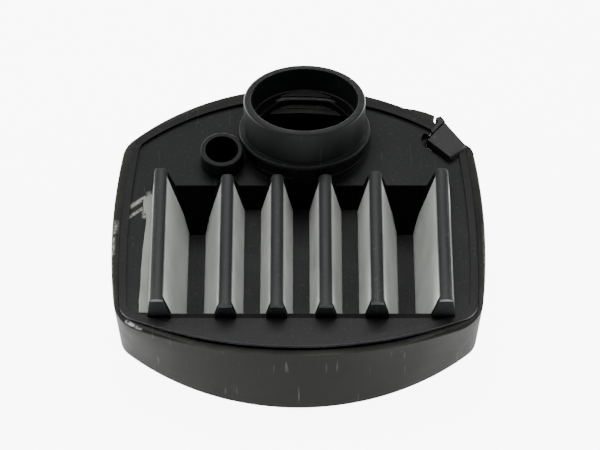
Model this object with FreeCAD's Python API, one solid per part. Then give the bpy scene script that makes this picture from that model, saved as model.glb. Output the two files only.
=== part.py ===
import FreeCAD, Part
import math
import os

# Two-half air filter housing for a small engine: a smooth lower tray, and an upper half that
# carries the leaning intake neck, a vent socket and a pleated filter screen held between
# rounded rib caps and narrow valley strips. A spring clip at the back right corner closes it.
# Millimetres, +X right, +Y towards the neck, +Z up, origin under the middle of the box.

V = FreeCAD.Vector

# ---- driving dimensions -------------------------------------------------------------------
RIM_Z = 34.0             # top of the raised band around the upper half
PLATE_TOP = 32.8         # top of the plate inside the band
PLATE_UNDER = 30.8
FLANGE_UNDER = 30.3      # underside of the band, which rests on the tray's ledge
TRAY_TOP = 33.0
LEDGE_Z = 30.25
FLOOR = 2.2              # tray floor thickness
FAR = 200.0              # longer than anything in the part

# plan shape of the plate: four large arcs with rounded corners. grow = distance outside it
RIM_PLAN = dict(front_y=-49.45, front_r=142.0, side_x=55.2, side_y=-15.5, side_r=330.0,
                back_y=46.6, back_r=80.0, front_corner=4.2, back_corner=5.2)
FOOT_PLAN = dict(front_y=-54.4, front_r=85.0, side_x=58.8, side_y=-12.0, side_r=330.0,
                 back_y=48.0, back_r=78.0, front_corner=8.0, back_corner=9.0)
CROWN_PLAN = dict(front_y=-54.1, front_r=147.0, side_x=60.6, side_y=-8.0, side_r=220.0,
                  back_y=52.8, back_r=79.5, front_corner=13.0, back_corner=10.0)
BAND = 2.4               # width of the raised band outside the plate
LIP_GAP = 0.15           # joint between the band and the tray's lip
CHEST_OUT = 2.0          # inside of the tray's wall outside the plate, below the ledge
WALL = 2.4
SHOULDER_R = 1.8
FOOT_R = 1.0
SEAL_IN, SEAL_OUT, SEAL_H = 0.25, 1.65, 1.4
SEAL_PLAY = 0.2
SEAL_TOP = 30.0
SKIRT_OUT, SKIRT_T, SKIRT_LOW = -1.5, 1.8, 27.0
LEDGE_IN = -1.2
LEDGE_ROOT_Z = 26.0      # where the ledge starts to grow out of the wall
LEDGE_T = 1.6            # thickness of the ledge at its inner edge
GROOVE_Z = 31.4          # prising groove along the front lip, with sloping ends
GROOVE_FLAT, GROOVE_HALF = 30.0, 53.0
BEAD_T, BEAD_STEP = 1.4, 0.4

# pleated screen
RIB_MID_X = 0.9
RIB_PITCH = (-45.5, -24.0, -7.75, 7.75, 24.0, 45.5)
RIB_RISE = (9.6, 6.2, 6.2, 6.2, 7.9, 9.6)      # cap tops above the band
VALLEY_MID = (-34.4, -15.9, 0.0, 15.9, 34.4)
VALLEY_DROP = (20.0, 10.5, 10.5, 10.5, 20.0)   # valley floors below the band
CAP_W, CAP_H, CAP_SIDE = 4.3, 1.3, 0.45        # upright part of a cap's side
VALLEY_W, VALLEY_T = 5.0, 1.4
MESH_T = 0.6
OUTER_FLARE = 1.1        # lean of the outermost screen panels
PLEAT_FRONT, PLEAT_BACK = -40.9, 11.35
SCREEN_BACK = 7.4        # where the screen ends; plain plastic flanks close the rest
CAP_BACK, CAP_SOFT = 10.4, 1.1
END_T, FLANK_T = 1.8, 1.2
BACK_LEAN = 19.5         # degrees, lean of the valleys' back wall
FLAP_W, FLAP_T = 3.0, 0.4
FLAP_START = 2.0

# intake neck
NECK_X, NECK_Y, NECK_Z = 2.0, 34.93, 48.3      # centre of the mouth
NECK_LEAN = 16.5
NECK_R, NECK_BORE = 20.0, 17.6
SEAT_DROP, PASSAGE_R = 8.6, 17.2               # the bore narrows to the air passage here
RING_R, RING_DROP, RING_T = 21.8, 11.6, 1.6
NECK_SOFT = 0.6          # rounding of the neck's outer edges
SILL_Z = 34.8            # top of the sill that closes the passage behind the band
SILL_GROW = 0.4          # the sill starts this far outside the plate
BOSS_R = 20.8
BOSS_STEP, BOSS_STEP_DROP = 0.4, 18.0          # the boss is a little wider below here
SLEEVE_R = 24.0          # room for a boot that is pushed over the neck
BOOT_HALF = 14.8         # half the gap in the tray's lip behind it

# vent socket
VENT_X, VENT_Y, VENT_TOP = -25.1, 20.9, 39.7
VENT_R, VENT_BORE = 7.05, 5.4
VENT_SOFT = 0.6

# clip and the well that it stands in, in a frame turned to the corner of the tray:
# first number outwards through the corner, second along it
CLIP_X, CLIP_Y, CLIP_TURN = 49.0, 28.1, 43.0
WELL_IN, WELL_TAPER = -5.35, 7.0
WELL_SIDE = -6.15
WELL_SLANT_OFF, WELL_SLANT = 6.65, 15.3
WELL_FLOOR = 10.5
POCKET = [(-6.0, 4.4), (-4.6, 7.4), (-2.2, 8.5), (-0.6, 5.0)]    # cut in the plate's edge
NOTCH_IN, NOTCH_END = 3.6, 10.9                # where the lip stops short of the clip
HEAD = [(-4.7, 4.3), (-4.3, -5.9), (3.1, -5.6), (4.75, 5.7)]
HEAD_TOP, HEAD_T, HEAD_SOFT = 35.5, 4.0, 0.35
STRIP = [(-1.3, 5.0), (-1.0, 6.3), (3.4, 7.5), (4.0, 9.2), (5.7, 8.5), (5.2, 5.9)]
HEEL = [(2.6, -5.5), (4.8, -5.9), (4.4, -3.6), (2.9, -3.6)]      # low step at the other end
HEEL_TOP = 33.0
STRIP_DROP = 0.3
STRIP_GROOVE = [(-1.6, 4.9), (-1.5, 5.3), (5.0, 6.3), (5.0, 5.85)]
GROOVE_DROP = 1.2
LEG_IN, LEG_OUT, LEG_A, LEG_B = 0.0, 2.0, -5.6, 6.3
TOOTH_OUT, TOOTH_LOW, TOOTH_HIGH, TOOTH_INSET = 1.4, 27.0, 30.0, 1.0
PIVOT_N, PIVOT_Z, PIVOT_R = 1.0, 13.8, 1.5
PIVOT_A, PIVOT_B = -7.8, 8.9
PIVOT_PLAY = 0.05
EARS = [[(-1.0, 7.0), (5.2, 9.9), (5.4, 11.5), (4.2, 14.5), (2.5, 17.5), (0.2, 20.6), (-3.0, 19.5)],
        [(-1.0, -6.0), (4.9, -6.0), (4.6, -7.3), (3.8, -9.1), (-1.0, -9.1)]]
EAR_LEAN = 3.4           # how much further in it stands at the well's floor


# ---- helpers ------------------------------------------------------------------------------
def box(x0, x1, y0, y1, z0, z1):
    return Part.makeBox(x1 - x0, y1 - y0, z1 - z0, V(x0, y0, z0))


def prism(points, z0, z1):
    """Vertical prism over a closed outline of (x, y) points."""
    wire = Part.makePolygon([V(x, y, z0) for x, y in points + points[:1]])
    return Part.Face(wire).extrude(V(0, 0, z1 - z0))


def profile(points, y0, y1):
    """Prism along Y over a closed outline of (x, z) points."""
    wire = Part.makePolygon([V(x, y0, z) for x, z in points + points[:1]])
    return Part.Face(wire).extrude(V(0, y1 - y0, 0))


def upright_edges(solid, front):
    """Vertical corner edges on the front or the back half of an outline."""
    found = []
    for edge in solid.Edges:
        lean = edge.tangentAt(edge.FirstParameter)
        if abs(lean.z) > 0.9 and (edge.CenterOfMass.y < 0) == front:
            found.append(edge)
    return found


def outline(grow, z0, z1, plan=RIM_PLAN):
    """Solid over the plan shape, grown outwards by grow."""
    height = z1 - z0
    front = Part.makeCylinder(plan["front_r"] + grow, height,
                              V(0, plan["front_y"] + plan["front_r"], z0))
    back = Part.makeCylinder(plan["back_r"] + grow, height,
                             V(0, plan["back_y"] - plan["back_r"], z0))
    solid = front.common(back)
    for side in (-1, 1):
        centre = V(side * (plan["side_x"] - plan["side_r"]), plan["side_y"], z0)
        solid = solid.common(Part.makeCylinder(plan["side_r"] + grow, height, centre))
    solid = solid.makeFillet(plan["front_corner"] + grow, upright_edges(solid, True))
    return solid.makeFillet(plan["back_corner"] + grow, upright_edges(solid, False))


def level_wire(solid, z):
    """Outline wire of a solid's flat face at height z."""
    for face in solid.Faces:
        bounds = face.BoundBox
        if abs(bounds.ZMin - z) < 1e-4 and abs(bounds.ZMax - z) < 1e-4:
            return face.OuterWire


def loft(low, low_z, high, high_z):
    """Straight-sided solid between two outlines."""
    wires = [level_wire(low, low_z), level_wire(high, high_z)]
    return Part.makeLoft(wires, True, True)


def to_corner(shape):
    """Carry a shape from the clip's own frame (x outwards, y along the corner) to its place."""
    moved = shape.copy()
    moved.rotate(V(0, 0, 0), V(0, 0, 1), CLIP_TURN)
    moved.translate(V(CLIP_X, CLIP_Y, 0))
    return moved


def well(margin, z0, z1):
    """Space around the clip, grown by margin."""
    inner = box(WELL_IN - margin, FAR, -FAR, FAR, z0, z1)
    inner.rotate(V(0, 0, 0), V(0, 0, 1), WELL_TAPER)
    side = box(-FAR, FAR, WELL_SIDE - margin, FAR, z0, z1)
    slant = box(-FAR, FAR, -FAR, WELL_SLANT_OFF + margin, z0, z1)
    slant.rotate(V(0, 0, 0), V(0, 0, 1), WELL_SLANT)
    return to_corner(inner.common(side).common(slant))


def notched(grow, z0, z1):
    """Plan shape grown by grow, passing the clip's well on its inner side."""
    return outline(grow, z0, z1).cut(well(BAND - grow, z0 - 1, z1 + 1))


def along_neck(drop):
    """Point on the neck's axis, drop below the mouth."""
    lean = math.radians(NECK_LEAN)
    return V(NECK_X, NECK_Y - drop * math.sin(lean), NECK_Z - drop * math.cos(lean))


def neck_axis():
    lean = math.radians(NECK_LEAN)
    return V(0, math.sin(lean), math.cos(lean))


def neck_cylinder(radius, drop_from, drop_to):
    return Part.makeCylinder(radius, drop_to - drop_from, along_neck(drop_from), neck_axis() * -1)


def neck_bore():
    """Air passage: round in the neck, and inside the band lower down."""
    whole = neck_cylinder(PASSAGE_R, 0, 2 * NECK_R)
    high = whole.common(box(-FAR, FAR, -FAR, FAR, SILL_Z, FAR))
    inside = whole.common(outline(SILL_GROW, FLANGE_UNDER, SILL_Z))
    low = whole.common(outline(SKIRT_OUT - SKIRT_T, 0, FLANGE_UNDER))
    return high.fuse(inside).fuse(low)


def boot_room():
    """Space that a boot needs round the neck, above the ring."""
    return neck_cylinder(SLEEVE_R, 0, RING_DROP)


def flank(rib, side):
    """Half-widths of a rib's screen flank at its cap and at its foot, with the foot's height."""
    centre = RIB_PITCH[rib]
    outermost = (rib == 0 and side < 0) or (rib == len(RIB_PITCH) - 1 and side > 0)
    if outermost:
        return CAP_W / 2, CAP_W / 2 + OUTER_FLARE, PLATE_TOP
    valley = rib - 1 if side < 0 else rib
    foot = abs(VALLEY_MID[valley] - centre) - VALLEY_W / 2
    return CAP_W / 2, foot, RIM_Z - VALLEY_DROP[valley]


def cap_under(rib):
    return RIM_Z + RIB_RISE[rib] - CAP_H


def flank_half_width(rib, side, z):
    top, foot, foot_z = flank(rib, side)
    share = (cap_under(rib) - z) / (cap_under(rib) - foot_z)
    return top + (foot - top) * share


def pleat_opening(z0, z1):
    """Window in the plate that the pleats hang in."""
    half = RIB_PITCH[-1] + CAP_W / 2 + OUTER_FLARE - MESH_T
    return box(RIB_MID_X - half, RIB_MID_X + half, PLEAT_FRONT, PLEAT_BACK, z0, z1)


def back_wall_cut():
    """Everything behind the leaning front face of the valleys' back wall."""
    block = box(-FAR, FAR, 0, FAR, -FAR, FAR)
    block.rotate(V(0, 0, 0), V(1, 0, 0), -BACK_LEAN)
    block.translate(V(0, PLEAT_BACK, PLATE_TOP))
    return block


# ---- lower half ---------------------------------------------------------------------------
def lower_tray():
    foot = outline(0, 0, 1, FOOT_PLAN)
    crown = outline(0, TRAY_TOP, TRAY_TOP + 1, CROWN_PLAN)
    body = loft(foot, 0, crown, TRAY_TOP)
    top_edges = [e for e in body.Edges if e.BoundBox.ZMin > TRAY_TOP - 0.01]
    body = body.makeFillet(SHOULDER_R, top_edges)
    foot_edges = [e for e in body.Edges if e.BoundBox.ZMax < 0.01]
    body = body.makeFillet(FOOT_R, foot_edges)
    body = body.fuse([clip_ear(plan) for plan in EARS])
    body = body.cut(tray_cavity())
    body = body.cut(outline(BAND + LIP_GAP, LEDGE_Z, FAR))
    body = body.cut(seal_groove())
    body = body.cut(prising_groove()).cut(boot_notch())
    body = body.cut(well(0, WELL_FLOOR, FAR))
    body = body.cut(to_corner(box(NOTCH_IN, FAR, 0, NOTCH_END, WELL_FLOOR, FAR)))
    return body.cut(pivot_barrel(PIVOT_PLAY)).removeSplitter()


def prising_groove():
    """Shallow cut along the front lip that fades out towards the corners."""
    points = [(-GROOVE_HALF, TRAY_TOP), (-GROOVE_FLAT, GROOVE_Z), (GROOVE_FLAT, GROOVE_Z),
              (GROOVE_HALF, TRAY_TOP), (GROOVE_HALF, TRAY_TOP + 1), (-GROOVE_HALF, TRAY_TOP + 1)]
    return profile(points, -FAR, PLEAT_FRONT)


def boot_notch():
    """Gap in the back lip, down to the ledge, that lets a boot past behind the neck."""
    return box(NECK_X - BOOT_HALF, NECK_X + BOOT_HALF, NECK_Y, FAR, LEDGE_Z, FAR)


def tray_cavity():
    """Hollow of the tray, with the ledge's sloping underside and the wall round the clip."""
    foot = outline(-WALL, FLOOR, FLOOR + 1, FOOT_PLAN)
    lip_z = LEDGE_Z - LEDGE_T
    chest = outline(CHEST_OUT, LEDGE_ROOT_Z, LEDGE_ROOT_Z + 1)
    mouth = outline(LEDGE_IN, lip_z, lip_z + 1)
    low = loft(foot, FLOOR, chest, LEDGE_ROOT_Z)
    slope = loft(chest, LEDGE_ROOT_Z, mouth, lip_z)
    throat = notched(LEDGE_IN, lip_z, LEDGE_Z + 1)
    hollow = low.fuse(slope).cut(well(WALL, WELL_FLOOR - WALL, FAR))
    return hollow.fuse(throat)


def seal_groove():
    low = SEAL_TOP - SEAL_H
    outer = notched(SEAL_OUT + SEAL_PLAY, low, LEDGE_Z + 1)
    return outer.cut(notched(SEAL_IN - SEAL_PLAY, low - 1, LEDGE_Z + 2))


def clip_ear(plan):
    """Gusset that thickens the wall beside the clip and follows its lean."""
    wires = []
    for z, inwards in ((WELL_FLOOR, EAR_LEAN), (TRAY_TOP, 0)):
        wires.append(Part.makePolygon([V(n - inwards, a, z) for n, a in plan + plan[:1]]))
    return to_corner(Part.makeLoft(wires, True, True))


def perimeter_seal():
    low = SEAL_TOP - SEAL_H
    return notched(SEAL_OUT, low, SEAL_TOP).cut(notched(SEAL_IN, low - 1, SEAL_TOP + 1))


# ---- clip ---------------------------------------------------------------------------------
def pivot_barrel(play=0.0):
    shape = Part.makeCylinder(PIVOT_R + play, PIVOT_B - PIVOT_A + 2 * play,
                              V(PIVOT_N, PIVOT_A - play, PIVOT_Z), V(0, 1, 0))
    return to_corner(shape)


def snap_clip():
    """Head with a low edge at either end, a wide leg, a tooth and a barrel to turn on."""
    under = HEAD_TOP - HEAD_T
    head = prism(HEAD, under, HEAD_TOP)
    rim = [e for e in head.Edges if e.BoundBox.ZMin > HEAD_TOP - 0.01]
    head = head.makeFillet(HEAD_SOFT, rim)
    strip = prism(STRIP, under, HEAD_TOP - STRIP_DROP)
    groove = prism(STRIP_GROOVE, HEAD_TOP - GROOVE_DROP, HEAD_TOP + 1)
    heel = prism(HEEL, under, HEEL_TOP)
    leg = box(LEG_IN, LEG_OUT, LEG_A, LEG_B, PIVOT_Z, under)
    tooth_y = LEG_A + TOOTH_INSET
    corners = [V(LEG_IN, tooth_y, TOOTH_LOW), V(LEG_IN - TOOTH_OUT, tooth_y, TOOTH_LOW),
               V(LEG_IN, tooth_y, TOOTH_HIGH)]
    tooth = Part.Face(Part.makePolygon(corners + corners[:1]))
    tooth = tooth.extrude(V(0, LEG_B - LEG_A - 2 * TOOTH_INSET, 0))
    body = head.fuse(strip).cut(groove).fuse([heel, leg, tooth])
    return to_corner(body).fuse(pivot_barrel()).removeSplitter()


# ---- upper half ---------------------------------------------------------------------------
def boss_part(grow, drop):
    """Upright foot under the neck, cut off square to the neck's axis."""
    middle = along_neck(RING_DROP + RING_T)
    top = along_neck(drop)
    lean = math.radians(NECK_LEAN)
    radius = BOSS_R + grow
    curve = Part.Ellipse(V(NECK_X, middle.y, PLATE_TOP), radius, radius * math.cos(lean))
    solid = Part.Face(Part.Wire(curve.toShape())).extrude(V(0, 0, FAR))
    over = box(-FAR, FAR, -FAR, FAR, 0, FAR)
    over.rotate(V(0, 0, 0), V(1, 0, 0), -NECK_LEAN)
    over.translate(top)
    return solid.cut(over)


def neck_boss():
    """Foot of the neck, a little wider near the plate."""
    whole = boss_part(0, RING_DROP + RING_T).fuse(boss_part(BOSS_STEP, BOSS_STEP_DROP))
    return whole.common(outline(BAND, 0, FAR))


def upper_frame():
    band = notched(BAND, RIM_Z - BEAD_T, RIM_Z)
    under_band = notched(BAND - BEAD_STEP, FLANGE_UNDER, RIM_Z - BEAD_T)
    body = band.fuse(under_band)
    body = body.cut(outline(0, PLATE_TOP, FAR))
    body = body.cut(notched(SKIRT_OUT - SKIRT_T, 0, PLATE_UNDER))
    skirt = notched(SKIRT_OUT, SKIRT_LOW, FLANGE_UNDER)
    skirt = skirt.cut(notched(SKIRT_OUT - SKIRT_T, SKIRT_LOW - 1, FLANGE_UNDER + 1))
    body = body.fuse([skirt, neck_boss()])
    body = body.cut(to_corner(prism(POCKET, PLATE_UNDER, FAR)))
    body = body.cut(pleat_opening(0, FAR)).cut(neck_bore()).cut(boot_room())
    vent = Part.makeCylinder(VENT_BORE, FAR, V(VENT_X, VENT_Y, 0))
    ends = [rib_end(rib, PLEAT_FRONT, PLEAT_BACK) for rib in (0, len(RIB_PITCH) - 1)]
    return body.cut(vent).cut(ends).removeSplitter()


def neck_profile():
    """Section of the neck: radius along X, height along the axis along Z, mouth at zero."""
    soft = NECK_SOFT
    low = -RING_DROP - RING_T
    turn = soft * (1 - math.sqrt(0.5))

    def rounded(corner, x_dir, z_dir):
        """Quarter round at an outer corner that runs from a level edge to an upright one."""
        x, z = corner
        level, upright = V(x - x_dir * soft, 0, z), V(x, 0, z - z_dir * soft)
        middle = V(x - x_dir * turn, 0, z - z_dir * turn)
        return level, middle, upright

    mouth = rounded((NECK_R, 0), 1, 1)
    upper = rounded((RING_R, -RING_DROP), 1, 1)
    lower = rounded((RING_R, low), 1, -1)
    inner_top, inner_seat = V(NECK_BORE, 0, 0), V(NECK_BORE, 0, -SEAT_DROP)
    passage_top, inner_low = V(PASSAGE_R, 0, -SEAT_DROP), V(PASSAGE_R, 0, low)
    root = V(NECK_R, 0, -RING_DROP)
    edges = [Part.makeLine(inner_top, mouth[0]), Part.Arc(*mouth).toShape(),
             Part.makeLine(mouth[2], root), Part.makeLine(root, upper[0]),
             Part.Arc(*upper).toShape(), Part.makeLine(upper[2], lower[2]),
             Part.Arc(lower[2], lower[1], lower[0]).toShape(),
             Part.makeLine(lower[0], inner_low), Part.makeLine(inner_low, passage_top),
             Part.makeLine(passage_top, inner_seat), Part.makeLine(inner_seat, inner_top)]
    return Part.Face(Part.Wire(edges))


def intake_neck():
    body = neck_profile().revolve(V(0, 0, 0), V(0, 0, 1), 360)
    body.rotate(V(0, 0, 0), V(1, 0, 0), -NECK_LEAN)
    body.translate(along_neck(0))
    inside = outline(SILL_GROW, RIM_Z, SILL_Z)
    sill = neck_cylinder((NECK_BORE + NECK_R) / 2, 0, 2 * NECK_R)
    sill = sill.common(box(-FAR, FAR, 0, FAR, RIM_Z, SILL_Z))
    body = body.fuse(sill.cut(inside))
    low = box(-FAR, FAR, -FAR, FAR, -FAR, RIM_Z)
    return body.cut(low).removeSplitter()


def vent_socket():
    tube = Part.makeCylinder(VENT_R, VENT_TOP - PLATE_TOP, V(VENT_X, VENT_Y, PLATE_TOP))
    rim = [e for e in tube.Edges if e.BoundBox.ZMin > VENT_TOP - 0.01]
    tube = tube.makeFillet(VENT_SOFT, rim)
    return tube.cut(Part.makeCylinder(VENT_BORE, FAR, V(VENT_X, VENT_Y, 0)))


def rib_cap(rib):
    """Half-round rail on top of a pleat."""
    x = RIB_MID_X + RIB_PITCH[rib]
    z = cap_under(rib)
    half = CAP_W / 2
    left, right = V(x - half, PLEAT_FRONT, z), V(x + half, PLEAT_FRONT, z)
    arch = Part.Arc(left + V(0, 0, CAP_SIDE), V(x, PLEAT_FRONT, z + CAP_H),
                    right + V(0, 0, CAP_SIDE)).toShape()
    sides = [Part.makeLine(left, left + V(0, 0, CAP_SIDE)), arch,
             Part.makeLine(right + V(0, 0, CAP_SIDE), right), Part.makeLine(right, left)]
    rail = Part.Face(Part.Wire(sides)).extrude(V(0, CAP_BACK - PLEAT_FRONT, 0))
    plan = box(x - half, x + half, PLEAT_FRONT, CAP_BACK, z, z + CAP_H)
    corners = [e for e in plan.Edges if e.BoundBox.YMin > CAP_BACK - 0.01
               and e.BoundBox.ZLength > CAP_H / 2]
    return rail.common(plan.makeFillet(CAP_SOFT, corners))


def valley_strip(valley):
    """Narrow floor that joins the feet of two screen panels."""
    x = RIB_MID_X + VALLEY_MID[valley]
    z = RIM_Z - VALLEY_DROP[valley]
    half = VALLEY_W / 2 + MESH_T
    strip = box(x - half, x + half, PLEAT_FRONT + END_T, PLEAT_BACK, z - VALLEY_T, z)
    return strip.cut(back_wall_cut())


def screen_panel(rib, side):
    """One flat panel of screen, from a cap down to a valley or the plate."""
    top, foot, foot_z = flank(rib, side)
    x = RIB_MID_X + RIB_PITCH[rib]
    points = [(x + side * top, cap_under(rib)), (x + side * (top - MESH_T), cap_under(rib)),
              (x + side * (foot - MESH_T), foot_z), (x + side * foot, foot_z)]
    panel = profile(points, PLEAT_FRONT + END_T, SCREEN_BACK)
    return panel.cut(back_wall_cut())


def rib_end(rib, y0, y1):
    """Upright arch that closes one end of a rib above the plate."""
    x = RIB_MID_X + RIB_PITCH[rib]
    corners = ((-1, PLATE_TOP), (-1, cap_under(rib)), (1, cap_under(rib)), (1, PLATE_TOP))
    points = [(x + side * flank_half_width(rib, side, z), z) for side, z in corners]
    return profile(points, y0, y1)


def valley_end(valley, y0, y1):
    """Wall below the plate that closes one end of a valley."""
    left = RIB_MID_X + RIB_PITCH[valley]
    right = RIB_MID_X + RIB_PITCH[valley + 1]
    low = RIM_Z - VALLEY_DROP[valley]
    points = [(left + flank_half_width(valley, 1, PLATE_TOP) - MESH_T, PLATE_TOP),
              (left + flank_half_width(valley, 1, low) - MESH_T, low - VALLEY_T),
              (right - flank_half_width(valley + 1, -1, low) + MESH_T, low - VALLEY_T),
              (right - flank_half_width(valley + 1, -1, PLATE_TOP) + MESH_T, PLATE_TOP)]
    return profile(points, y0, y1)


def pleat_apron(y0, y1):
    """Rail at plate height with a wall hanging from it at each valley."""
    rail = pleat_opening(PLATE_UNDER, PLATE_TOP)
    rail = rail.common(box(-FAR, FAR, y0, y1, -FAR, FAR))
    walls = [valley_end(valley, y0, y1) for valley in range(len(VALLEY_MID))]
    return rail.fuse(walls)


def pleat_front_wall():
    wall = pleat_apron(PLEAT_FRONT, PLEAT_FRONT + END_T)
    ends = [rib_end(rib, PLEAT_FRONT, PLEAT_FRONT + END_T) for rib in range(len(RIB_PITCH))]
    return wall.fuse(ends).removeSplitter()


def rib_block(rib, inset, root, y0, y1):
    """Everything between a rib's two flanks, inset from them, with its sides ending root lower."""
    x = RIB_MID_X + RIB_PITCH[rib]
    left_top, left_foot, left_z = flank(rib, -1)
    right_top, right_foot, right_z = flank(rib, 1)
    points = [(x - left_foot + inset, left_z - root), (x - left_foot + inset, left_z),
              (x - left_top + inset, cap_under(rib)), (x + right_top - inset, cap_under(rib)),
              (x + right_foot - inset, right_z), (x + right_foot - inset, right_z - root)]
    return profile(points, y0, y1)


def back_end(rib):
    """Hollow back end of a rib: two plain flanks and an end that slopes up to the cap."""
    z = cap_under(rib)
    side_view = [V(-FAR, SCREEN_BACK, 0), V(-FAR, PLEAT_BACK, 0), V(-FAR, PLEAT_BACK, PLATE_TOP),
                 V(-FAR, CAP_BACK - CAP_SOFT / 2, z), V(-FAR, SCREEN_BACK, z)]
    wedge = Part.Face(Part.makePolygon(side_view + side_view[:1])).extrude(V(2 * FAR, 0, 0))
    solid = rib_block(rib, 0, VALLEY_T / 2, SCREEN_BACK, PLEAT_BACK).common(wedge)
    return solid.cut(rib_block(rib, FLANK_T, FAR, 0, PLEAT_BACK - END_T))


def pleat_back_wall():
    """Leaning wall behind the valleys, with the hollow back ends of the ribs."""
    behind = back_wall_cut()
    behind.translate(V(0, END_T, 0))
    walls = [valley_end(valley, 0, FAR) for valley in range(len(VALLEY_MID))]
    wall = pleat_opening(PLATE_UNDER, PLATE_TOP).fuse(walls).common(back_wall_cut())
    ends = [back_end(rib) for rib in range(len(RIB_PITCH))]
    wall = wall.fuse(ends).cut(behind)
    plate = outline(0, PLATE_UNDER, PLATE_TOP).cut(pleat_opening(0, FAR))
    strips = [valley_strip(valley) for valley in range(len(VALLEY_MID))]
    return wall.cut(plate).cut(neck_boss()).cut(strips).removeSplitter()


def screen_flap():
    """Loose edge of the screen that lies on the plate beside the left rib."""
    x = RIB_MID_X + RIB_PITCH[0] - CAP_W / 2 - OUTER_FLARE
    return box(x - FLAP_W, x, PLEAT_FRONT + FLAP_START, SCREEN_BACK,
               PLATE_TOP, PLATE_TOP + FLAP_T)


# ---- all nodes ----------------------------------------------------------------------------
def all_nodes():
    nodes = dict(lower_tray=lower_tray(), perimeter_seal=perimeter_seal(), snap_clip=snap_clip(),
                 upper_frame=upper_frame(), intake_neck=intake_neck(), vent_socket=vent_socket(),
                 pleat_front_wall=pleat_front_wall(), pleat_back_wall=pleat_back_wall(),
                 screen_flap=screen_flap())
    for rib in range(len(RIB_PITCH)):
        nodes[f"rib_cap_{rib + 1}"] = rib_cap(rib)
        for side, name in ((-1, "left"), (1, "right")):
            nodes[f"screen_panel_{rib + 1}_{name}"] = screen_panel(rib, side)
    for valley in range(len(VALLEY_MID)):
        nodes[f"valley_strip_{valley + 1}"] = valley_strip(valley)
    return nodes


os.makedirs("parts", exist_ok=True)
for name, shape in all_nodes().items():
    shape.exportStep(f"parts/{name}.step")
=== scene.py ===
import bpy
import bmesh
import math
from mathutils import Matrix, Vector, noise


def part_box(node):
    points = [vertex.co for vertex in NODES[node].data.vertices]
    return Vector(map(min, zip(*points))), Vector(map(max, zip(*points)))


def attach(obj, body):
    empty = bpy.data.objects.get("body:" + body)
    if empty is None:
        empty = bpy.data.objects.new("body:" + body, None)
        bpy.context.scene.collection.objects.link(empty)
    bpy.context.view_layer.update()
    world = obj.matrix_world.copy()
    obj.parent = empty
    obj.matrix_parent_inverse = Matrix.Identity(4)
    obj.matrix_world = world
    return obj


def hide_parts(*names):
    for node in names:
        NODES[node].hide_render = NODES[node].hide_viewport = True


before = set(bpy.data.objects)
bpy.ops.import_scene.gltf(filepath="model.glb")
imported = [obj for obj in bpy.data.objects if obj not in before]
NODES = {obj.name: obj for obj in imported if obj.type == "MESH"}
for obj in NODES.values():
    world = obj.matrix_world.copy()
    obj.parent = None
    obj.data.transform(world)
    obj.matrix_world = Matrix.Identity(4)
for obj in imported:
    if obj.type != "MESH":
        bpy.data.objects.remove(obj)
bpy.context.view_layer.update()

MM = 0.001
UPPER = "upper_half"
BACK_LEAN = math.radians(19.5)    # lean of the valleys' back wall
BACK_Y = 11.35 * MM               # where that wall meets the plate
CLOTH_T = 0.22 * MM               # thickness of the woven screen
ROUND_OFF = 0.3 * MM              # softness of the plastic's edges
RIB_COUNT = 6
PLATE_Z = 32.8 * MM               # top of the upper half's plate
TUCK = 0.6 * MM                   # how far a panel's edge is moulded into its cap
PANEL_ROWS, PANEL_COLUMNS, FLAP_ROWS = 16, 48, 8
FLAP_EDGE = ((0.0, 0.92), (0.42, 0.82), (0.68, 0.62), (0.82, 0.5), (0.87, 0.84), (0.93, 0.9),
             (0.97, 0.72), (1.0, 0.08))        # width of the loose edge from front to back

# plastic's finish: pattern scales in waves per metre
CLOUD_SCALE, GRAIN_SCALE, DUST_SCALE, SCUFF_AND_HIGHLIGHT_SCALE = 45.0, 2600.0, 700.0, 900.0
SCRATCH_SCALE = (900.0, 60.0, 60.0)
GRAIN_DEPTH = 0.03 * MM
CLOUD_DEPTH = 0.14                # how far the clouds darken and lighten the colour
BEVEL_SAMPLES = 6
EDGE_FLAT, EDGE_TURNED = 0.995, 0.86      # cosine of the turn where the painted edge highlight and rubbing start and are full
DUST_COLOUR = (0.32, 0.32, 0.29)
FRONT_FILM = 0.035                # extra dust film on the front of level faces
FILM_BACK_Y, FILM_FRONT_Y = -28 * MM, -48 * MM

# streaks of glue and rubbed places, and on the tray's lip painted highlight: from, to (row
# frame), half width in mm, strength
SCUFF_AND_HIGHLIGHT_COLOUR = (0.36, 0.37, 0.34)
PLATE_SMEARS = (((-0.0502, 0.0064, 0.0328), (-0.0549, 0.0024, 0.0328), 0.9, 1.0),
                ((-0.0499, 0.0028, 0.0328), (-0.0548, -0.0014, 0.0328), 0.7, 1.0),
                ((-0.0487, 0.0080, 0.0328), (-0.0500, -0.0010, 0.0328), 1.3, 0.8))
# tray lip streaks: partly rubbed places, partly painted highlight along the lip's outer edge
TRAY_RUBS_AND_HIGHLIGHTS = (((-0.0590, -0.0035, 0.0325), (-0.0592, -0.0075, 0.0325), 1.2, 0.7),
             ((-0.0597, -0.0100, 0.0325), (-0.0598, -0.0160, 0.0325), 1.0, 0.6),
             ((-0.0601, -0.0170, 0.0315), (-0.0588, -0.0340, 0.0315), 1.2, 0.3),
             ((-0.0545, -0.0420, 0.0325), (-0.0500, -0.0450, 0.0325), 0.9, 0.9),
             ((0.0596, -0.0050, 0.0320), (0.0600, -0.0250, 0.0320), 1.0, 0.25))

# woven screen
THREAD_SCALE, STAIN_SCALE = (900.0, 900.0, 900.0), (60.0, 60.0, 220.0)
WEAVE_DEPTH = 0.06 * MM
CLOTH_DARK, CLOTH_LIGHT = (0.42, 0.44, 0.41), (0.58, 0.60, 0.57)
STAIN_COLOUR, GAP_COLOUR, FLAT_COLOUR = (0.30, 0.31, 0.26), (0.22, 0.23, 0.21), (0.15, 0.16, 0.14)

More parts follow.
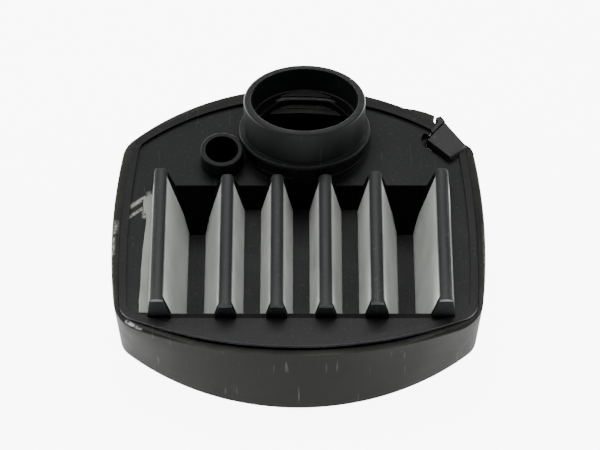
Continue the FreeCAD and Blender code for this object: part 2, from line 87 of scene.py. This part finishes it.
# camera, in the row frame, and the stage
VIEW_ANGLE = math.radians(54.5)
VIEW_DISTANCE = 0.874
VIEW_TARGET = Vector((0.5, -5.5, 34.0)) * MM
LENS = 162.0
SENSOR_WIDTH = 36.0
FLOOR_HALF, FLOOR_GLOW = 3.0, 8.0
LIGHT_AIM_Z = 20 * MM


# ---- node helpers -------------------------------------------------------------------------
def new_material(name):
    """Empty node material with its shader and its output joined up."""
    material = bpy.data.materials.new(name)
    material.use_nodes = True
    tree = material.node_tree
    tree.nodes.clear()
    out = tree.nodes.new("ShaderNodeOutputMaterial")
    shader = tree.nodes.new("ShaderNodeBsdfPrincipled")
    tree.links.new(shader.outputs["BSDF"], out.inputs["Surface"])
    return material, tree, shader


def node(tree, kind, **sockets):
    """A node with some of its input sockets set by name."""
    made = tree.nodes.new(kind)
    for name, value in sockets.items():
        made.inputs[name.replace("_", " ")].default_value = value
    return made


def noise_value(tree, vector, scale, detail=3.0, rough=0.55):
    """Grey noise over a vector, scale in waves per metre."""
    made = node(tree, "ShaderNodeTexNoise", Scale=scale, Detail=detail, Roughness=rough)
    tree.links.new(vector, made.inputs["Vector"])
    return made.outputs["Fac"]


def ramp(tree, value, low, high, to_low=0.0, to_high=1.0):
    """Maps value from low..high to to_low..to_high, held at both ends."""
    made = tree.nodes.new("ShaderNodeMapRange")
    made.inputs["From Min"].default_value = low
    made.inputs["From Max"].default_value = high
    made.inputs["To Min"].default_value = to_low
    made.inputs["To Max"].default_value = to_high
    tree.links.new(value, made.inputs["Value"])
    return made.outputs["Result"]


def math_node(tree, operation, first, second):
    """One maths step; each input is a socket or a number."""
    made = tree.nodes.new("ShaderNodeMath")
    made.operation = operation
    for index, value in enumerate((first, second)):
        if isinstance(value, (int, float)):
            made.inputs[index].default_value = value
        else:
            tree.links.new(value, made.inputs[index])
    return made.outputs["Value"]


def vector_step(tree, operation, first, second, output="Vector"):
    """One vector step; the second input is a socket or three numbers."""
    made = tree.nodes.new("ShaderNodeVectorMath")
    made.operation = operation
    tree.links.new(first, made.inputs[0])
    if isinstance(second, (tuple, Vector)):
        made.inputs[1].default_value = second
    else:
        tree.links.new(second, made.inputs[1])
    return made.outputs[output]


def axis_value(tree, vector, axis):
    """One of a vector's three numbers, by its axis letter."""
    made = tree.nodes.new("ShaderNodeSeparateXYZ")
    tree.links.new(vector, made.inputs[0])
    return made.outputs[axis]


def surface_normal(tree):
    return tree.nodes.new("ShaderNodeNewGeometry").outputs["Normal"]


def mix_colour(tree, factor, first, second):
    """Blend of two colours; each is a socket or an rgb triple."""
    made = tree.nodes.new("ShaderNodeMix")
    made.data_type = "RGBA"
    tree.links.new(factor, made.inputs["Factor"])
    for index, value in ((6, first), (7, second)):
        if isinstance(value, tuple):
            made.inputs[index].default_value = (*value, 1)
        else:
            tree.links.new(value, made.inputs[index])
    return made.outputs[2]


def shaded(colour, share):
    """A colour made darker or lighter."""
    return tuple(channel * share for channel in colour)


def place(tree):
    """Position in the row frame, in metres."""
    return tree.nodes.new("ShaderNodeTexCoord").outputs["Object"]


def stretched(tree, vector, scale):
    """The position, scaled differently along each axis."""
    made = tree.nodes.new("ShaderNodeMapping")
    made.inputs["Scale"].default_value = scale
    tree.links.new(vector, made.inputs["Vector"])
    return made.outputs["Vector"]


# ---- materials ----------------------------------------------------------------------------
def soft_normal(tree):
    """Surface direction with the plastic's edges rounded off."""
    bevel = tree.nodes.new("ShaderNodeBevel")
    bevel.samples = BEVEL_SAMPLES
    bevel.inputs["Radius"].default_value = ROUND_OFF
    return bevel.outputs["Normal"]


def edge_highlight_and_rub(tree, soft, cloud):
    """Share of painted edge highlight on rubbed plastic, high where an edge turns and the clouds
    are thick.
    """
    turn = vector_step(tree, "DOT_PRODUCT", soft, surface_normal(tree), "Value")
    edge = ramp(tree, turn, EDGE_FLAT, EDGE_TURNED)
    return math_node(tree, "MULTIPLY", edge, ramp(tree, cloud, 0.35, 0.62, 0.25, 1.0))


def settled_dust(tree, where, cloud, dust, film):
    """Share of dust on level faces: specks all over, and a film that is thicker in front."""
    level = ramp(tree, axis_value(tree, surface_normal(tree), "Z"), 0.5, 1.0)
    speck = ramp(tree, noise_value(tree, where, DUST_SCALE, 5.0, 0.7), 0.58, 0.75)
    haze = ramp(tree, axis_value(tree, where, "Y"), FILM_BACK_Y, FILM_FRONT_Y, film,
                film + FRONT_FILM)
    haze = math_node(tree, "MULTIPLY", haze, ramp(tree, cloud, 0.3, 0.7, 0.6, 1.3))
    dusty = math_node(tree, "ADD", math_node(tree, "MULTIPLY", speck, dust), haze)
    return math_node(tree, "MULTIPLY", level, dusty)


def plastic(name, colour, wear_and_highlight, rough, shine, grain=0.25, dust=0.1, film=0.0, scuffs_and_highlights=()):
    """Moulded plastic: fine spark-eroded grain, cloudy tone, scratches, rubbed edges with a
    painted edge highlight, and dust.
    """
    material, tree, shader = new_material(name)
    where = place(tree)
    cloud = noise_value(tree, where, CLOUD_SCALE, 4.0)
    fine = noise_value(tree, where, GRAIN_SCALE, 2.0)
    streak = noise_value(tree, stretched(tree, where, SCRATCH_SCALE), 1.0, 2.0)
    scratch = ramp(tree, streak, 0.66, 0.74)
    soft = soft_normal(tree)
    settle = settled_dust(tree, where, cloud, dust, film)

    tone = mix_colour(tree, ramp(tree, cloud, 0.3, 0.7), shaded(colour, 1 - CLOUD_DEPTH),
                      shaded(colour, 1 + CLOUD_DEPTH))
    tone = mix_colour(tree, math_node(tree, "MULTIPLY", scratch, 0.35), tone, wear_and_highlight)
    # painted edge highlight: turned edges are lightened toward the wear colour, patchy like
    # rubbing
    tone = mix_colour(tree, edge_highlight_and_rub(tree, soft, cloud), tone, wear_and_highlight)
    tone = mix_colour(tree, settle, tone, DUST_COLOUR)
    # pale streaks: real scuffs and smears, and on the tray's lip painted highlight
    for start, end, width, strength in scuffs_and_highlights:
        mask = scuff_and_highlight_mask(tree, where, start, end, width * MM, strength)
        tone = mix_colour(tree, mask, tone, SCUFF_AND_HIGHLIGHT_COLOUR)
    tree.links.new(tone, shader.inputs["Base Color"])

    gloss = ramp(tree, cloud, 0.3, 0.7, rough - 0.06, rough + 0.07)
    gloss = math_node(tree, "ADD", gloss, math_node(tree, "MULTIPLY", scratch, 0.12))
    gloss = math_node(tree, "ADD", gloss, math_node(tree, "MULTIPLY", settle, 0.5))
    tree.links.new(gloss, shader.inputs["Roughness"])
    shader.inputs["Specular IOR Level"].default_value = shine
    bump = node(tree, "ShaderNodeBump", Strength=grain, Distance=GRAIN_DEPTH)
    tree.links.new(fine, bump.inputs["Height"])
    tree.links.new(soft, bump.inputs["Normal"])
    tree.links.new(bump.outputs["Normal"], shader.inputs["Normal"])
    return material


def scuff_and_highlight_mask(tree, where, start, end, width, strength):
    """Broken pale streak between two points, used for scuffs and smears and for painted highlight
    on the tray's lip.
    """
    run = Vector(end) - Vector(start)
    offset = vector_step(tree, "SUBTRACT", where, start)
    along = vector_step(tree, "DOT_PRODUCT", offset, run / run.length_squared, "Value")
    along = ramp(tree, along, 0.0, 1.0)
    spread = tree.nodes.new("ShaderNodeCombineXYZ")
    for axis in range(3):
        tree.links.new(math_node(tree, "MULTIPLY", along, run[axis]), spread.inputs[axis])
    away = vector_step(tree, "DISTANCE", offset, spread.outputs["Vector"], "Value")
    near = ramp(tree, away, width, width * 0.3)
    broken = ramp(tree, noise_value(tree, where, SCUFF_AND_HIGHLIGHT_SCALE, 4.0, 0.7), 0.38, 0.58)
    return math_node(tree, "MULTIPLY", math_node(tree, "MULTIPLY", near, broken), strength)


def thread_wave(tree, where, direction):
    """Parallel threads across one axis."""
    wave = node(tree, "ShaderNodeTexWave", Scale=1.0, Distortion=0.3, Detail=1.0)
    wave.bands_direction = direction
    tree.links.new(stretched(tree, where, THREAD_SCALE), wave.inputs["Vector"])
    return wave.outputs["Fac"]


def screen_cloth():
    """Fine plain weave of off-white nylon, faintly soiled, and darker where it lies flat."""
    material, tree, shader = new_material("screen_cloth")
    where = place(tree)
    weave = math_node(tree, "MULTIPLY", thread_wave(tree, where, "Y"),
                      thread_wave(tree, where, "Z"))
    cloud = noise_value(tree, where, 60.0, 4.0)
    stain = noise_value(tree, stretched(tree, where, STAIN_SCALE), 1.0, 4.0)
    level = axis_value(tree, surface_normal(tree), "Z")
    tone = mix_colour(tree, ramp(tree, cloud, 0.35, 0.65), CLOTH_DARK, CLOTH_LIGHT)
    tone = mix_colour(tree, ramp(tree, stain, 0.55, 0.8, 0.0, 0.45), tone, STAIN_COLOUR)
    tone = mix_colour(tree, ramp(tree, weave, 0.0, 0.35, 0.28, 0.0), tone, GAP_COLOUR)
    tone = mix_colour(tree, ramp(tree, level, 0.7, 0.95, 0.0, 0.6), tone, FLAT_COLOUR)
    tree.links.new(tone, shader.inputs["Base Color"])
    shader.inputs["Roughness"].default_value = 0.8
    shader.inputs["Sheen Weight"].default_value = 0.25
    shader.inputs["Sheen Roughness"].default_value = 0.4
    bump = node(tree, "ShaderNodeBump", Strength=0.35, Distance=WEAVE_DEPTH)
    tree.links.new(weave, bump.inputs["Height"])
    tree.links.new(bump.outputs["Normal"], shader.inputs["Normal"])
    return material


def rubber():
    """Soft black foam cord."""
    material, tree, shader = new_material("seal_rubber")
    where = place(tree)
    pores = noise_value(tree, where, 1500.0, 4.0, 0.7)
    tone = mix_colour(tree, ramp(tree, pores, 0.35, 0.65), (0.012, 0.012, 0.012),
                      (0.035, 0.035, 0.033))
    tree.links.new(tone, shader.inputs["Base Color"])
    shader.inputs["Roughness"].default_value = 0.85
    bump = node(tree, "ShaderNodeBump", Strength=0.5, Distance=0.1 * MM)
    tree.links.new(pores, bump.inputs["Height"])
    tree.links.new(bump.outputs["Normal"], shader.inputs["Normal"])
    return material


def white_floor():
    """Pale paper that glows, with a faint cloudiness."""
    material, tree, shader = new_material("floor_paper")
    where = place(tree)
    tooth = noise_value(tree, where, 12.0, 3.0)
    tone = mix_colour(tree, ramp(tree, tooth, 0.3, 0.7), (0.9, 0.9, 0.9), (0.93, 0.93, 0.93))
    tree.links.new(tone, shader.inputs["Base Color"])
    shader.inputs["Roughness"].default_value = 0.9
    shader.inputs["Emission Color"].default_value = (1, 1, 1, 1)
    shader.inputs["Emission Strength"].default_value = FLOOR_GLOW
    return material


# ---- pieces -------------------------------------------------------------------------------
def cloth_object(name, grid, material, node_names):
    """Sheet from rows of points, given thickness, riding on the upper half."""
    made = bmesh.new()
    rows = [[made.verts.new(point) for point in row] for row in grid]
    for above, below in zip(rows, rows[1:]):
        for a, b, c, d in zip(above, above[1:], below[1:], below):
            made.faces.new((a, b, c, d))
    for face in made.faces:
        face.smooth = True
    mesh = bpy.data.meshes.new(name)
    made.to_mesh(mesh)
    made.free()
    piece = bpy.data.objects.new(name, mesh)
    bpy.context.scene.collection.objects.link(piece)
    mesh.materials.append(material)
    thick = piece.modifiers.new("thickness", "SOLIDIFY")
    thick.thickness = CLOTH_T
    thick.offset = 0
    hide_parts(*node_names)
    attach(piece, UPPER)
    return piece


def panel_rows(rib, side):
    """Rows of points of a slightly slack panel, from inside a cap down to the foot beside it."""
    label = "right" if side > 0 else "left"
    low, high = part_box(f"screen_panel_{rib}_{label}")
    cap_low, cap_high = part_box(f"rib_cap_{rib}")
    cap_x = cap_high.x if side > 0 else cap_low.x
    foot_x = high.x if side > 0 else low.x
    top = Vector((cap_x - side * CLOTH_T, 0, high.z + TUCK))
    foot = Vector((foot_x - side * CLOTH_T, 0, low.z))
    outward = Vector((side * (high.z - low.z), 0, abs(foot_x - cap_x))).normalized()
    grid = []
    for i in range(PANEL_ROWS + 1):
        v = i / PANEL_ROWS
        edge = top.lerp(foot, v)
        back = min(high.y, BACK_Y - (PLATE_Z - edge.z) * math.tan(BACK_LEAN))
        row = []
        for j in range(PANEL_COLUMNS + 1):
            u = j / PANEL_COLUMNS
            y = low.y + (back - low.y) * u
            belly = math.sin(math.pi * v) * math.sin(math.pi * u) ** 0.5
            seed = Vector((rib * 7.3 + side * 3.1, y * 60, edge.z * 45))
            slack = (0.5 * noise.noise(seed) - 0.35) * MM * belly
            row.append(edge + Vector((0, y, 0)) + outward * slack)
        grid.append(row)
    return grid


def flap_width(u):
    """Share of the full width that the loose edge has at u, from its front to its back."""
    for (u0, w0), (u1, w1) in zip(FLAP_EDGE, FLAP_EDGE[1:]):
        if u <= u1:
            return w0 + (w1 - w0) * (u - u0) / (u1 - u0)


def flap_rows():
    """Rows of points of the screen's loose edge on the plate, with a ragged outer side."""
    low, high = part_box("screen_flap")
    grid = []
    for i in range(1, FLAP_ROWS + 1):
        v = i / FLAP_ROWS
        row = []
        for j in range(PANEL_COLUMNS + 1):
            u = j / PANEL_COLUMNS
            y = low.y + (high.y - low.y) * u
            wave = 0.2 * MM * noise.noise(Vector((1.7, y * 210, 0.4)))
            wave += 0.12 * MM * noise.noise(Vector((5.1, y * 700, 2.2)))
            x = high.x - ((high.x - low.x) * flap_width(u) + wave) * v
            curl = 0.5 + noise.noise(Vector((x * 200, y * 160, 9.0)))
            row.append(Vector((x, y, low.z + CLOTH_T / 2 + 0.2 * MM * v * curl)))
        grid.append(row)
    return grid


def screen_panel(rib, side, material):
    """One screen panel; the first also carries the loose edge that lies on the plate."""
    label = "right" if side > 0 else "left"
    stands_for = [f"screen_panel_{rib}_{label}"]
    grid = panel_rows(rib, side)
    if rib == 1 and side < 0:
        grid += flap_rows()
        stands_for.append("screen_flap")
    piece = cloth_object(f"screen_{rib}_{label}", grid, material, stands_for)


def paint(node_name, material):
    """Gives a CAD node its material."""
    piece = NODES[node_name]
    piece.data.materials.clear()
    piece.data.materials.append(material)


# ---- light, floor and camera --------------------------------------------------------------
def area_light(name, place_at, size, power):
    """Soft rectangular lamp turned to the object."""
    aim = Vector((0, 0, LIGHT_AIM_Z))
    data = bpy.data.lights.new(name, "AREA")
    data.shape = "RECTANGLE"
    data.size, data.size_y = size
    data.energy = power
    lamp = bpy.data.objects.new(name, data)
    bpy.context.scene.collection.objects.link(lamp)
    lamp.location = place_at
    lamp.rotation_euler = (aim - Vector(place_at)).to_track_quat("-Z", "Y").to_euler()


def make_world():
    """Dim studio, a little brighter overhead and behind than in front."""
    world = bpy.data.worlds.new("studio")
    bpy.context.scene.world = world
    world.use_nodes = True
    tree = world.node_tree
    back = tree.nodes["Background"]
    where = tree.nodes.new("ShaderNodeTexCoord").outputs["Generated"]
    behind = math_node(tree, "MULTIPLY", axis_value(tree, where, "Y"), 0.5)
    lift = math_node(tree, "ADD", behind, axis_value(tree, where, "Z"))
    level = ramp(tree, lift, -0.35, 1.0, 0.05, 0.45)
    tree.links.new(level, back.inputs["Strength"])
    back.inputs["Color"].default_value = (1, 1, 1, 1)


def make_floor():
    """Level floor that reaches past every edge of the picture."""
    made = bmesh.new()
    bmesh.ops.create_grid(made, x_segments=8, y_segments=8, size=FLOOR_HALF)
    mesh = bpy.data.meshes.new("floor")
    made.to_mesh(mesh)
    made.free()
    floor = bpy.data.objects.new("floor", mesh)
    mesh.materials.append(white_floor())
    bpy.context.scene.collection.objects.link(floor)


def make_camera():
    """Camera in front of the object, looking down at it."""
    data = bpy.data.cameras.new("camera")
    data.lens = LENS
    data.sensor_width = SENSOR_WIDTH
    data.clip_start = 0.01
    camera = bpy.data.objects.new("camera", data)
    bpy.context.scene.collection.objects.link(camera)
    away = Vector((0, -math.cos(VIEW_ANGLE), math.sin(VIEW_ANGLE)))
    camera.location = VIEW_TARGET + away * VIEW_DISTANCE
    camera.rotation_euler = (math.pi / 2 - VIEW_ANGLE, 0, 0)
    bpy.context.scene.camera = camera


# ---- the scene ----------------------------------------------------------------------------
make_camera()
make_world()
make_floor()
area_light("overhead", (-0.05, 0.35, 0.9), (0.9, 0.6), 9.0)
area_light("left", (-0.8, 0.1, 0.45), (0.5, 0.5), 2.5)
area_light("right", (0.8, 0.0, 0.45), (0.5, 0.5), 2.0)

black = plastic("black_plastic", (0.006, 0.0065, 0.007), (0.05, 0.052, 0.052), 0.42, 0.12,
                scuffs_and_highlights=PLATE_SMEARS)
rail = plastic("rail_plastic", (0.013, 0.014, 0.015), (0.07, 0.075, 0.075), 0.46, 0.25)
smoky = plastic("smoky_plastic", (0.005, 0.0053, 0.0047), (0.06, 0.064, 0.056), 0.55, 0.012,
                grain=0.35, film=0.09, scuffs_and_highlights=TRAY_RUBS_AND_HIGHLIGHTS)
matt = plastic("matt_plastic", (0.005, 0.0053, 0.0055), (0.03, 0.031, 0.031), 0.6, 0.015)
clip = plastic("clip_plastic", (0.014, 0.015, 0.0142), (0.08, 0.085, 0.08), 0.46, 0.2)
cloth = screen_cloth()

for name in ("upper_frame", "intake_neck", "vent_socket"):
    paint(name, black)
for name in ("pleat_front_wall", "pleat_back_wall"):
    paint(name, matt)
for valley in range(1, RIB_COUNT):
    paint(f"valley_strip_{valley}", black)
for rib in range(1, RIB_COUNT + 1):
    paint(f"rib_cap_{rib}", rail)
    screen_panel(rib, -1, cloth)
    screen_panel(rib, 1, cloth)
paint("lower_tray", smoky)
paint("snap_clip", clip)
paint("perimeter_seal", rubber())

bpy.context.view_layer.update()
